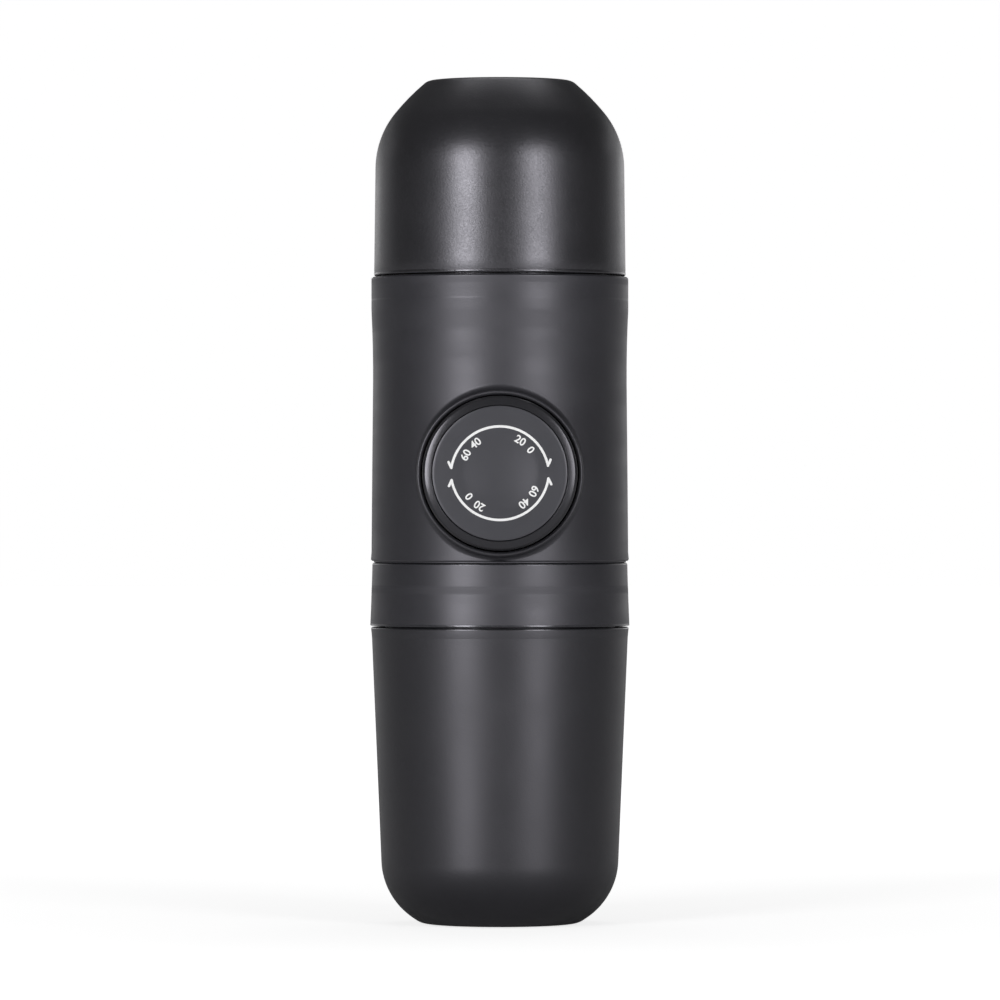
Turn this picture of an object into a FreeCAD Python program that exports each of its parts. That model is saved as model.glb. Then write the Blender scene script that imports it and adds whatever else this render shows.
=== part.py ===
"""Handheld manual espresso maker: tank, pump body, outlet head and drinking cup stacked on one upright axis.

The pump lies across the body. Its knob faces -Y and is pulled out along -Y by the return spring.
Millimetres, +Z up, origin at the centre of the cup's flat base.
"""

import FreeCAD, Part
import math
import os

V = FreeCAD.Vector
UP = V(0, 0, 1)
ACROSS = V(1, 0, 0)
CENTRE = V(0, 0, 0)

# Overall
total_height = 180.0
seam = 0.3  # shadow gap between two stacked bodies
running_fit = 0.08  # radial play of a turned sliding pair
loose_fit = 0.3  # radial play of a moulded sliding pair
seat_gap = 0.05  # play of a seated seal or ball

# Cup
cup_height = 63.3
cup_step = 0.02  # how far the cup's rim stands in from the body
rim_lip = 0.12  # how far the cup's rim and the body's foot flare out
rim_flare = 2.5  # height of that flare
cup_wall = 1.8
cup_taper = 2.41  # degrees
cup_shoulder = 15.12
cup_heel = 4.11

# Outlet head
head_height = 13.4
ring_flare = 0.24  # how far the head's foot stands out from the body
ring_step = 0.22  # how far its top edge stands in from the body
spigot_play = 1.1
spigot_wall = 1.8
spigot_depth = 7.6
bowl_wall = 2.0
nozzle_length = 7.0
nozzle_bore = 2.0

# Pump body
body_height = 60.6
body_radius = 27.46  # at the top rim
foot_flare = 0.02
waist_depth = 0.34
waist_height = 37.5
rim_band = 7.1
body_wall = 2.4
deck_thickness = 3.0
socket_depth = 14.0

# Tank
tank_step = 0.58  # how far the tank's foot stands in from the body
tank_taper = 0.7  # degrees
tank_wall = 1.9
tank_shoulder = 18.86
tank_rim = 2.55

# Quick threads of the tank and the outlet head
thread_lead = 20.0
thread_starts = 4
thread_depth = 1.0
thread_foot = 2.5
thread_tip = 1.7

# Pump, along the knob axis
knob_gap = 0.4  # free height under the knob, above the lower neck
rear_gap = 0.25  # between the pump and the rear wall
stroke = 18.0
turn = 60.0  # degrees from closed to open
bore = 6.0
barrel_wall = 2.5
rod = 3.5
piston_length = 4.6
lug_length = 2.4
lug_width = 30.0  # degrees
knob_radius = 16.2
knob_bevel = 2.05
knob_drop = 0.58  # how far the bevel falls away from the face
knob_head = 5.0  # from the rod's end to the knob's face
knob_wall = 2.0
collar_rise = 3.44  # how far the knob's collar stands out of the body
collar_wall = 0.95
collar_blend = 1.5
collar_round = 0.45  # at its front edge
edge = 0.3  # break of the outer edges
flange_front = 4.0
flange_thickness = 2.5
screw_radius = 1.0
screw_head = 1.5
screw_length = 8.0
pillar = 2.3
pillar_angle = 35.75  # degrees up from level, seen along the knob axis
spring_wire = 0.7

# Valves
valve_bore = 3.4
valve_wall = 1.8
ball = 2.4
valve_lift = 1.2
port = 0.8

# Basket and shower
basket_wall = 0.8
basket_depth = 16.4
gasket_width = 3.9
gasket_thickness = 1.3
neck_plug = 2.0  # how far the lower neck reaches into the body
shower_screw_length = 6.0
shower_gap = 2.0
screen_thickness = 0.8

# Heights
head_low = cup_height + seam
head_high = head_low + head_height
body_low = head_high + 0.4
body_high = body_low + body_height
tank_low = body_high + seam
deck_top = body_high - socket_depth
deck_low = deck_top - deck_thickness
basket_top = head_low + 1.05
gasket_low = basket_top + seat_gap
neck_low = gasket_low + gasket_thickness
neck_floor = neck_low + 0.35
knob_height = body_low + neck_plug + knob_gap + knob_radius

# Outer radii
body_foot_radius = body_radius + foot_flare
body_waist_radius = body_radius - waist_depth
head_low_radius = body_radius + ring_flare
head_high_radius = body_radius - ring_step
cup_rim_radius = body_radius - cup_step
tank_radius = body_radius - tank_step
collar_bore = knob_radius + 0.35
collar_radius = collar_bore + collar_wall
collar_out = body_radius + collar_rise

# Radii of what turns or seals inside
body_bore = body_radius - body_wall
head_thread = body_bore - 1.6  # root radius of the body's lower male thread
tank_thread = body_bore - 1.4  # root radius of the tank's male thread
seal_bore = tank_thread - 0.25  # socket below the thread, where the tank's ring seals
seal_section = 0.75
seal_middle = seal_bore - seat_gap - seal_section
mouth = seal_middle - seal_section - 1.4
spigot_radius = cup_rim_radius - cup_wall - spigot_play
basket_radius = spigot_radius - spigot_wall - gasket_width
basket_flange = basket_radius + gasket_width
screw_circle = basket_radius + 2.0
knob_face_radius = knob_radius - knob_bevel
skirt_bore = knob_radius - knob_wall
pillar_circle = skirt_bore - 0.2
pillar_x = pillar_circle * math.cos(math.radians(pillar_angle))
pillar_z = pillar_circle * math.sin(math.radians(pillar_angle))
spring_middle = pillar_circle - screw_head - spring_wire - 0.3

# Places along the knob axis, from the plug at the rear wall to the knob's face
barrel = bore + barrel_wall
plug_flange = barrel - 1.0
barrel_end = 1.0 - math.sqrt((body_bore - rear_gap) ** 2 - plug_flange ** 2)
chamber_end = barrel_end + 3.5
piston_back = chamber_end + 2.0
bushing_back = piston_back + piston_length + stroke + 0.4
lug_back = bushing_back + 1.0
bushing_stop = lug_back + lug_length + stroke + 0.2
bushing_front = bushing_stop + 2.0
web_back = max(bushing_front + 1.8, collar_out + 0.5)
knob_face_out = web_back + knob_head

# Valves: both stand over the port, which opens between the plug and the piston
port_back = -(piston_back + chamber_end) / 2
valve_back = port_back + port + 0.1 - valve_bore
valve_top = knob_height + bore + 1.8
valve_low = knob_height - bore - 1.8
inlet_ball = valve_top + 4.8
outlet_ball = valve_low - 4.8
seat_touch = ball * math.sqrt(2) + seat_gap * math.sqrt(2)


def turned(corners):
    """Solid turned about the upright axis from corners (radius, height)."""
    wire = Part.makePolygon([V(r, 0, z) for r, z in corners + corners[:1]])
    return Part.Face(wire).revolve(CENTRE, UP, 360)


def rod_up(radius, low, high, x=0.0, y=0.0):
    return Part.makeCylinder(radius, high - low, V(x, y, low))


def tube_up(outer, inner, low, high, x=0.0, y=0.0):
    return rod_up(outer, low, high, x, y).cut(rod_up(inner, low - 1, high + 1, x, y))


def ring(middle, section, height):
    """Round-section ring lying flat."""
    return Part.makeTorus(middle, section, V(0, 0, height))


def on_knob_axis(shape):
    """Lay a shape built upright onto the knob axis: its top points out along -Y."""
    shape.rotate(CENTRE, ACROSS, 90)
    shape.translate(V(0, 0, knob_height))
    return shape


def outer_edge(radius, height, side):
    """Cutter that breaks the outer edge of a round rim; side is 1 for a top edge, -1 for a bottom edge."""
    corners = [(radius - edge, height + side * edge * 0.2), (radius + 1, height + side * edge * 0.2)]
    corners += [(radius + 1, height - side * edge), (radius, height - side * edge), (radius - edge, height)]
    return turned(corners)


def around(shape, count, start=0.0):
    """Copies of a shape spread evenly about the upright axis."""
    copies = []
    for k in range(count):
        copy = shape.copy()
        copy.rotate(CENTRE, UP, start + k * 360.0 / count)
        copies.append(copy)
    return copies


def walk(start, heading, side, moves, inset=0.0):
    """Outline walked from start; each move is a straight length, then a bend (radius, degrees)."""
    h = math.radians(heading)
    r = start[0] - side * inset * math.sin(h)
    z = start[1] + side * inset * math.cos(h)
    edges = []
    for length, radius, angle in moves:
        if length > 0:
            r2 = r + length * math.cos(h)
            z2 = z + length * math.sin(h)
            edges.append(Part.LineSegment(V(r, 0, z), V(r2, 0, z2)).toShape())
            r, z = r2, z2
        bend = radius - inset
        cr = r - side * bend * math.sin(h)
        cz = z + side * bend * math.cos(h)
        points = []
        for part in (0.5, 1.0):
            a = h + side * math.radians(angle) * part
            points.append(V(cr + side * bend * math.sin(a), 0, cz - side * bend * math.cos(a)))
        edges.append(Part.Arc(V(r, 0, z), points[0], points[1]).toShape())
        h += side * math.radians(angle)
        r, z = points[1].x, points[1].z
    return edges, V(r, 0, z)


def domed(edges, end, base):
    """Solid turned from a walked outline, closed along the axis down or up to the height of its start."""
    start = edges[0].Vertexes[0].Point
    closing = [end, V(0, 0, end.z), V(0, 0, base), V(start.x, 0, base), start]
    lines = [Part.makeLine(a, b) for a, b in zip(closing, closing[1:]) if a.distanceToPoint(b) > 1e-6]
    wire = Part.Wire(edges + lines)
    return Part.Face(wire).revolve(CENTRE, UP, 360)


def thread(base, crest, low, high, offset):
    """Helical ridges standing on radius base and reaching radius crest, on the helix through offset."""
    buried = base - 0.4 if crest > base else base + 0.4
    corners = [V(buried, 0, -thread_foot / 2), V(crest, 0, -thread_tip / 2)]
    corners += [V(crest, 0, thread_tip / 2), V(buried, 0, thread_foot / 2)]
    section = Part.makePolygon(corners + corners[:1])
    rise = high - low - thread_foot
    helix = Part.Wire(Part.makeHelix(thread_lead, rise, (base + crest) / 2).Edges)
    ridge = helix.makePipeShell([section], True, True)
    start = low + thread_foot / 2
    ridge.translate(V(0, 0, start))
    return around(ridge, thread_starts, (start - offset) * 360.0 / thread_lead)


def coil(middle, wire, low, high, turns):
    """Open wound spring standing upright, of round wire drawn with twelve flats of the same section area."""
    pitch = (high - low) / turns
    slope = math.atan2(pitch, 2 * math.pi * middle)
    reach = wire * math.sqrt(math.pi / 6 / math.sin(math.pi / 6))
    corners = []
    for k in range(12):
        a = (k + 0.5) * math.pi / 6
        rise = reach * math.sin(a)
        corners.append(V(middle + reach * math.cos(a), -rise * math.sin(slope), rise * math.cos(slope)))
    helix = Part.Wire(Part.makeHelix(pitch, high - low, middle).Edges)
    spring = helix.makePipeShell([Part.makePolygon(corners + corners[:1])], True, True)
    spring.translate(V(0, 0, low))
    return spring


def holes(radius, rings, spacing, low, high):
    """Round pattern of holes: one in the middle and six more on each further ring."""
    drills = [rod_up(radius, low, high)]
    for k in range(1, rings + 1):
        drills += around(rod_up(radius, low, high, k * spacing), 6 * k)
    return drills


def cup_moves():
    """Cup side from the rim down: taper, shoulder, heel."""
    down = -90 - cup_taper
    bends = [(0, cup_shoulder, 50.15), (0, 21.8, 5.13), (0, cup_heel, 90 - cup_taper - 55.28)]
    low = walk((cup_rim_radius, 0), down, -1, bends)[1].z
    straight = (cup_height + low) / math.cos(math.radians(cup_taper))
    bends[0] = (straight, cup_shoulder, 50.15)
    return down, bends


def tank_moves():
    """Tank side from the seam up: straight, shoulder, upper cone, top rim."""
    up = 90 + tank_taper
    bends = [(0, tank_shoulder, 38.75), (0, 48.9, 10.27), (0, tank_rim, 90 - tank_taper - 49.02)]
    rise = walk((tank_radius, 0), up, 1, bends)[1].z
    straight = (total_height - tank_low - rise) / math.cos(math.radians(tank_taper))
    bends[0] = (straight, tank_shoulder, 38.75)
    return up, bends


def drinking_cup():
    down, moves = cup_moves()
    edges, end = walk((cup_rim_radius, cup_height), down, -1, moves)
    inner, inner_end = walk((cup_rim_radius, cup_height), down, -1, moves, cup_wall)
    hollow = domed(inner, inner_end, cup_height + 1)
    hollow = hollow.common(rod_up(40, 0, cup_height + 1))
    top = rod_up(cup_rim_radius - cup_wall, cup_height - 0.5, cup_height + 1)
    below = cup_height - rim_flare
    side = cup_rim_radius - rim_flare * math.tan(math.radians(cup_taper)) - 0.02
    flare = [(cup_rim_radius - 1, below), (side, below), (cup_rim_radius + rim_lip, cup_height)]
    lip = turned(flare + [(cup_rim_radius - 1, cup_height)])
    lip = lip.cut(outer_edge(cup_rim_radius + rim_lip, cup_height, 1))
    return domed(edges, end, cup_height).fuse(lip).cut(hollow).cut(top)


def outlet_head():
    wall = basket_radius + 0.4 + bowl_wall
    low = basket_top - basket_depth - 1.7
    outer = [(0, low - 12.0), (5.6, low - 12.0), (5.6, low - 9.0), (wall - 3, low - 2.2), (wall, low + 0.6)]
    outer += [(wall, head_low - spigot_depth), (spigot_radius, head_low - spigot_depth + 2.5)]
    outer += [(spigot_radius, head_low), (head_low_radius, head_low)]
    outer += [(head_low_radius - 0.3, head_low + 8.2), (head_high_radius, head_high), (0, head_high)]
    bowl = wall - bowl_wall
    seat = basket_flange + loose_fit
    base = head_thread + thread_depth + loose_fit
    inner = [(0, low - 9), (3.6, low - 9), (bowl - 2.5, low - 0.6), (bowl, low + 1.2), (bowl, head_low)]
    inner += [(seat, head_low), (seat, neck_low - 0.7), (base, neck_low - 0.3)]
    inner += [(base, head_high + 1), (0, head_high + 1)]
    shell = turned(outer).cut(turned(inner))
    shell = shell.cut(rod_up(3.6, low - 13, low))
    groove = tube_up(spigot_radius + 1, spigot_radius - 0.8, head_low - 4.2, head_low - 2.0)
    shell = shell.cut(groove).cut(outer_edge(head_high_radius, head_high, 1))
    shell = shell.cut(outer_edge(head_low_radius, head_low, -1))
    between = thread_lead / thread_starts / 2
    ridges = thread(base, base - thread_depth, neck_low + 1.4, head_high - 0.6, between)
    return shell.fuse(ridges)


def outlet_nozzle():
    low = basket_top - basket_depth - 1.7 - 12.0
    body = rod_up(3.55, low, low + nozzle_length - 2.2)
    body = body.fuse(rod_up(4.8, low - 2.2, low))
    return body.cut(rod_up(nozzle_bore, low - 3, low + nozzle_length))


def cup_grip_ring():
    root = spigot_radius - 0.8
    reach = cup_rim_radius - cup_wall - 0.25
    low = head_low - 4.1
    section = [(root, low), (reach - 0.5, low), (reach, low + 0.6), (reach, low + 1.4)]
    return turned(section + [(reach - 0.5, low + 2), (root, low + 2)])


def filter_basket():
    low = basket_top - basket_depth
    outer = rod_up(basket_radius, low, basket_top).fuse(rod_up(basket_flange, basket_top - 1.0, basket_top))
    inner = rod_up(basket_radius - basket_wall, low + 0.8, basket_top + 1)
    return outer.cut(inner).cut(rod_up(basket_radius - basket_wall - 1.0, low - 1, low + 2))


def basket_screen():
    low = basket_top - basket_depth + 0.8
    disc = rod_up(basket_radius - basket_wall - 0.1, low, low + 0.5)
    return disc.cut(Part.makeCompound(holes(0.45, 5, 3.0, low - 1, low + 1)))


def lower_neck():
    """Plug closing the pump body from below; the outlet head screws onto it and the shower hangs in it."""
    plug = body_bore - 0.02
    outer = [(0, neck_low), (head_thread, neck_low), (head_thread, body_low), (plug, body_low)]
    outer += [(plug, body_low + neck_plug), (0, body_low + neck_plug)]
    recess = basket_radius
    ledge = neck_floor + 1.0
    inner = [(3.5, neck_low - 1), (recess, neck_low - 1), (recess, ledge), (recess - 0.9, ledge)]
    inner += [(recess - 0.9, ledge + shower_gap), (3.5, ledge + shower_gap)]
    neck = turned(outer).cut(turned(inner))
    neck = neck.cut(rod_up(3.6, neck_low - 1, neck_floor + screen_thickness))
    neck = neck.cut(rod_up(1.3, neck_floor, body_low, 0, valve_back))
    neck = neck.cut(rod_up(valve_bore, body_low - 1.9, body_low + 3, 0, valve_back))
    neck = neck.cut(rod_up(1.25, neck_low, neck_floor + shower_screw_length + 0.65))
    heads = around(rod_up(1.95, neck_low - 1, neck_low + 2.3, screw_circle), 4, 45)
    shanks = around(rod_up(screw_radius + 0.1, neck_low, body_low + 3, screw_circle), 4, 45)
    neck = neck.cut(Part.makeCompound(heads)).cut(Part.makeCompound(shanks))
    ridges = thread(head_thread, head_thread + thread_depth, neck_low + 0.6, body_low - 0.8, 0)
    return neck.fuse(ridges)


def brew_gasket():
    return tube_up(basket_flange, basket_radius + 0.2, gasket_low, neck_low)


def shower_screen():
    disc = rod_up(basket_radius - 0.2, neck_floor, neck_floor + screen_thickness)
    drills = holes(0.5, 5, 3.2, neck_floor - 1, neck_floor + 2)
    return disc.cut(Part.makeCompound(drills)).cut(rod_up(1.4, neck_floor - 1, neck_floor + 2))


def pan_screw(head, head_height, shank, length, slot=0.0):
    """Upright screw, head at the bottom from height 0, with a hexagon socket."""
    screw = rod_up(head, 0, head_height).fuse(rod_up(shank, head_height, head_height + length))
    turns = [k * math.pi / 3 for k in range(6)]
    corners = [V(head * 0.5 * math.cos(a), head * 0.5 * math.sin(a), 0) for a in turns]
    socket = Part.Face(Part.makePolygon(corners + corners[:1])).extrude(V(0, 0, head_height * 0.6))
    return screw.cut(socket)


def shower_screw():
    screw = pan_screw(2.8, 1.2, 1.2, shower_screw_length)
    screw.translate(V(0, 0, neck_floor - 1.2))
    return screw


def body_screws():
    screw = pan_screw(1.9, 1.9, screw_radius, body_low + 5.4 - neck_low - 2.2)
    screw.translate(V(screw_circle, 0, neck_low + 0.3))
    return Part.makeCompound(around(screw, 4, 45))


def body_outline():
    """Side of the pump body: nearly straight up to a faint waist, then a slightly wider top rim."""
    foot = V(body_foot_radius, 0, body_low - 4)
    waist = V(body_waist_radius, 0, body_low + waist_height)
    middle = V((body_foot_radius + body_waist_radius) / 2 + 0.02, 0, body_low + waist_height * 0.427)
    rim = V(body_radius, 0, body_high - rim_band)
    rise = V((body_waist_radius + body_radius) / 2 - 0.08, 0, (waist.z + rim.z) / 2 + 1.5)
    top = V(body_radius, 0, body_high)
    edges = [Part.Arc(foot, middle, waist).toShape(), Part.Arc(waist, rise, rim).toShape()]
    edges.append(Part.makeLine(rim, top))
    closing = [top, V(0, 0, body_high), V(0, 0, foot.z), foot]
    return edges + [Part.makeLine(a, b) for a, b in zip(closing, closing[1:])]


def body_outside():
    """Outer form with the knob collar blended in."""
    trunk = Part.Face(Part.Wire(body_outline())).revolve(CENTRE, UP, 360)
    collar = rod_up(collar_radius, 0, collar_out)
    front = [rim for rim in collar.Edges if rim.BoundBox.ZMin > collar_out - 0.01]
    collar = on_knob_axis(collar.makeFillet(collar_round, front))
    form = trunk.fuse(collar)
    seams = []
    for edge in form.Edges:
        box = edge.BoundBox
        inside = box.YMax < -5 and box.ZMin > body_low - 3.9 and box.ZMax < deck_low + 2
        if inside and box.YMin > -collar_out + 1 and abs(box.ZLength) > 1:
            seams.append(edge)
    form = form.makeFillet(collar_blend, seams)
    form = form.cut(rod_up(40, body_low - 10, body_low))
    above = body_low + rim_flare
    flare = [(0, body_low), (body_foot_radius + rim_lip, body_low), (body_foot_radius - 0.1, above), (0, above)]
    lip = turned(flare)
    form = form.fuse(lip).cut(outer_edge(body_foot_radius + rim_lip, body_low, -1))
    return form.cut(outer_edge(body_radius, body_high, 1))


def body_inside():
    """Room for the pump, bore of the knob collar, and the tank's socket."""
    room = rod_up(body_bore, body_low - 1, deck_low)
    tunnel = [(0, 0), (collar_bore, 0), (collar_bore, collar_out - edge), (collar_bore + edge, collar_out)]
    tunnel = on_knob_axis(turned(tunnel + [(collar_bore + edge, collar_out + 1), (0, collar_out + 1)]))
    floor = deck_top + 4.6
    socket = [(0, deck_top), (seal_bore, deck_top), (seal_bore, floor)]
    socket += [(tank_thread + thread_depth + loose_fit, floor + 0.4)]
    socket += [(tank_thread + thread_depth + loose_fit, body_high + 1), (0, body_high + 1)]
    return room.fuse(tunnel).fuse(turned(socket))


def body_ribs():
    """Four pillars that carry the pump flange and four bosses for the screws of the lower neck."""
    parts = []
    for x in (-pillar_x, pillar_x):
        for z in (-pillar_z, pillar_z):
            post = rod_up(pillar, -body_bore - 0.5, flange_front - flange_thickness, x, z)
            drill = rod_up(screw_radius + 0.02, flange_front - screw_length - 1.5, flange_front, x, z)
            parts.append(on_knob_axis(post.cut(drill)))
    low = body_low + neck_plug + 0.1
    boss = rod_up(2.6, low, low + 4.4, screw_circle)
    web = Part.makeBox(body_bore - screw_circle + 0.6, 2.4, 4.4, V(screw_circle, -1.2, low))
    boss = boss.fuse(web).cut(rod_up(screw_radius + 0.02, low - 1, low + 3.6, screw_circle))
    ribs = parts + around(boss, 4, 45)
    return [rib.common(rod_up(body_bore + 0.6, body_low, deck_low)) for rib in ribs]


def body_housing():
    shell = body_outside().cut(body_inside()).fuse(body_ribs())
    shell = shell.cut(rod_up(valve_bore - 0.03, deck_low - 1, deck_top + 1, 0, valve_back))
    base = tank_thread + thread_depth + loose_fit
    between = thread_lead / thread_starts / 2
    ridges = thread(base, base - thread_depth, deck_top + 5.2, body_high - 0.8, between)
    return shell.fuse(ridges)


def inlet_filter():
    disc = rod_up(5.4, 0, 0.5).cut(Part.makeCompound(holes(0.35, 3, 1.5, -1, 1)))
    disc.translate(V(0, valve_back, deck_top + 0.02))
    return disc


def inlet_stem():
    """Tube from the deck down to the inlet ball, coned at its foot as the ball's seat."""
    foot = inlet_ball + 1.2
    narrow = 1.2
    outline = [(seat_touch - 1.2, foot), (valve_bore - 0.05, foot), (valve_bore - 0.05, deck_top)]
    outline += [(narrow, deck_top), (narrow, inlet_ball + seat_touch - narrow)]
    stem = turned(outline)
    stem.translate(V(0, valve_back, 0))
    return stem


def inlet_valve_ball():
    return Part.makeSphere(ball, V(0, valve_back, inlet_ball))


def inlet_valve_spring():
    spring = coil(1.9, 0.2, valve_top + 0.25, inlet_ball - 1.75, 3.5)
    spring.translate(V(0, valve_back, 0))
    return spring


def outlet_valve_seat():
    """Ring pressed in above the outlet ball."""
    foot = outlet_ball + 1.2
    outline = [(seat_touch - 1.2, foot), (valve_bore, foot), (valve_bore, foot + 1.9), (1.2, foot + 1.9)]
    outline += [(1.2, outlet_ball + seat_touch - 1.2)]
    seat = turned(outline)
    seat.translate(V(0, valve_back, 0))
    return seat


def outlet_valve_ball():
    return Part.makeSphere(ball, V(0, valve_back, outlet_ball))


def outlet_stem():
    """Tube from the outlet valve into the lower neck, with a lip that carries the valve spring."""
    low = body_low - 1.85
    stem = tube_up(valve_bore - 0.05, ball + 0.35, low, outlet_ball - ball)
    stem = stem.fuse(tube_up(valve_bore - 0.05, 1.4, low, low + 0.8))
    stem.translate(V(0, valve_back, 0))
    return stem


def outlet_valve_spring():
    spring = coil(1.9, 0.2, body_low - 0.8, outlet_ball - 1.75, 5)
    spring.translate(V(0, valve_back, 0))
    return spring


def pump_cylinder():
    body = on_knob_axis(rod_up(barrel, barrel_end, bushing_stop + 1))
    flange = rod_up(knob_radius, flange_front - flange_thickness, flange_front)
    flange = flange.cut(Part.makeCompound(flange_drills()))
    body = body.fuse(on_knob_axis(flange))
    foot = body_low + neck_plug + 0.6
    body = body.fuse(rod_up(valve_bore + valve_wall, foot, inlet_ball + 4.4, 0, valve_back))
    body = body.cut(on_knob_axis(rod_up(bore, barrel_end - 1, bushing_front + 1)))
    body = body.cut(rod_up(valve_bore, valve_top, inlet_ball + 5, 0, valve_back))
    body = body.cut(rod_up(valve_bore, body_low + 2, valve_low, 0, valve_back))
    return body.cut(rod_up(port, valve_low - 1, valve_top + 1, 0, port_back))


def flange_drills():
    spots = [(x, z) for x in (-pillar_x, pillar_x) for z in (-pillar_z, pillar_z)]
    return [rod_up(screw_radius + 0.1, 0, flange_front + 1, x, z) for x, z in spots]


def flange_screws():
    screws = []
    for x in (-pillar_x, pillar_x):
        for z in (-pillar_z, pillar_z):
            screw = pan_screw(screw_head, 1.4, screw_radius, screw_length)
            screw.rotate(CENTRE, ACROSS, 180)
            screw.translate(V(x, z, flange_front + 1.4))
            screws.append(on_knob_axis(screw))
    return Part.makeCompound(screws)


def cylinder_plug():
    outline = [(0, chamber_end), (bore - 0.03, chamber_end), (bore - 0.03, barrel_end)]
    outline += [(plug_flange, barrel_end), (plug_flange, barrel_end - 1.0), (0, barrel_end - 1.0)]
    plug = turned(outline).cut(tube_up(bore + 1, bore - 1.3, chamber_end - 2.4, chamber_end - 1.0))
    return on_knob_axis(plug)


def plug_o_ring():
    return on_knob_axis(ring(bore - 0.65, 0.62, chamber_end - 1.7))


def guide_bushing():
    """Bushing in the mouth of the cylinder: guides the rod and, with two slots, the rod's lugs."""
    slot = turn + lug_width + 2
    body = tube_up(bore - 0.02, rod + running_fit, bushing_back, bushing_front - 1)
    body = body.fuse(tube_up(barrel - 0.1, rod + running_fit, bushing_front - 1, bushing_front))
    length = bushing_stop - bushing_back + 1
    for side in (0, 180):
        sector = Part.makeCylinder(bore + 1, length, V(0, 0, bushing_back - 1), UP, slot)
        sector.rotate(CENTRE, UP, side - slot / 2)
        body = body.cut(sector)
    return on_knob_axis(body)


def piston_rod():
    """Rod, piston head with two ring grooves, and the two lugs that stop the turn."""
    body = rod_up(rod, piston_back, web_back)
    body = body.fuse(rod_up(bore - loose_fit, piston_back, piston_back + piston_length))
    for groove in piston_grooves():
        body = body.cut(tube_up(bore + 1, bore - 1.35, groove - 0.68, groove + 0.68))
    for side in (0, 180):
        lug = Part.makeCylinder(bore - loose_fit, lug_length, V(0, 0, lug_back), UP, lug_width)
        lug.rotate(CENTRE, UP, side - turn / 2 - lug_width / 2)
        body = body.fuse(lug)
    body = body.cut(rod_up(1.4, web_back - 9, web_back + 1))
    return on_knob_axis(body)


def piston_grooves():
    return [piston_back + 1.1, piston_back + piston_length - 1.1]


def piston_o_rings():
    rings = [ring(bore - 0.65, 0.6, groove) for groove in piston_grooves()]
    return on_knob_axis(Part.makeCompound(rings))


def thrust_washer():
    return on_knob_axis(tube_up(skirt_bore - 1.0, barrel + 1.7, web_back - 0.8, web_back - 0.1))


def return_spring():
    low = flange_front + spring_wire + 0.05
    high = web_back - 0.8 - spring_wire - 0.05
    return on_knob_axis(coil(spring_middle, spring_wire, low, high, 8))


def knob_shell():
    face = knob_face_out
    foot = flange_front + 3.5
    outline = [(skirt_bore, foot), (knob_radius, foot), (knob_radius, face - knob_drop - 0.4)]
    outline += [(knob_radius - 0.35, face - knob_drop), (knob_face_radius + 0.2, face - 0.1)]
    outline += [(knob_face_radius + 0.05, face - 0.25), (knob_face_radius + 0.05, face - 2.1)]
    outline += [(0, face - 2.1), (0, web_back), (skirt_bore, web_back)]
    shell = turned(outline)
    shell = shell.cut(rod_up(1.6, web_back - 1, face)).cut(rod_up(3.4, face - 3.8, face))
    return on_knob_axis(shell)


def knob_face():
    """Disc set in the knob, with a shallow thumb dish."""
    disc = rod_up(knob_face_radius, knob_face_out - 2.0, knob_face_out)
    dish = 70.0
    disc = disc.cut(Part.makeSphere(dish, V(0, 0, knob_face_out + dish - 0.45)))
    return on_knob_axis(disc)


def knob_screw():
    screw = pan_screw(3.2, 1.5, 1.38, screw_length)
    screw.rotate(CENTRE, ACROSS, 180)
    screw.translate(V(0, 0, knob_face_out - 2.25))
    return on_knob_axis(screw)


def water_tank():
    up, moves = tank_moves()
    edges, end = walk((tank_radius, tank_low), up, 1, moves)
    inner, inner_end = walk((tank_radius, tank_low), up, 1, moves, tank_wall)
    room = domed(inner, inner_end, tank_low)
    room = room.common(rod_up(40, tank_low + tank_wall, total_height))
    low = deck_top + 2.6
    shell = domed(edges, end, tank_low).fuse(rod_up(tank_thread, low + 2.6, tank_low + 1))
    shell = shell.fuse(rod_up(seal_bore - loose_fit, low, tank_low + 1))
    shell = shell.cut(room.fuse(rod_up(mouth, low - 1, tank_low + 3)))
    groove = tube_up(tank_thread + 1, seal_middle - seal_section - seat_gap, low + 0.5, low + 2.1)
    shell = shell.cut(groove).cut(outer_edge(tank_radius, tank_low, -1))
    crest = tank_thread + thread_depth
    return shell.fuse(thread(tank_thread, crest, deck_top + 5.4, tank_low - 1.0, 0))


def tank_o_ring():
    return ring(seal_middle, seal_section, deck_top + 3.9)


PARTS = {
    "water_tank": water_tank,
    "tank_o_ring": tank_o_ring,
    "body_housing": body_housing,
    "inlet_filter": inlet_filter,
    "inlet_stem": inlet_stem,
    "inlet_valve_ball": inlet_valve_ball,
    "inlet_valve_spring": inlet_valve_spring,
    "pump_cylinder": pump_cylinder,
    "cylinder_plug": cylinder_plug,
    "plug_o_ring": plug_o_ring,
    "guide_bushing": guide_bushing,
    "flange_screws": flange_screws,
    "piston_rod": piston_rod,
    "piston_o_rings": piston_o_rings,
    "thrust_washer": thrust_washer,
    "return_spring": return_spring,
    "knob_shell": knob_shell,
    "knob_face": knob_face,
    "knob_screw": knob_screw,
    "outlet_valve_seat": outlet_valve_seat,
    "outlet_valve_ball": outlet_valve_ball,
    "outlet_valve_spring": outlet_valve_spring,
    "outlet_stem": outlet_stem,
    "lower_neck": lower_neck,
    "body_screws": body_screws,
    "shower_screen": shower_screen,
    "shower_screw": shower_screw,
    "brew_gasket": brew_gasket,
    "filter_basket": filter_basket,
    "basket_screen": basket_screen,
    "outlet_head": outlet_head,
    "outlet_nozzle": outlet_nozzle,
    "cup_grip_ring": cup_grip_ring,
    "drinking_cup": drinking_cup,
}

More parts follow.
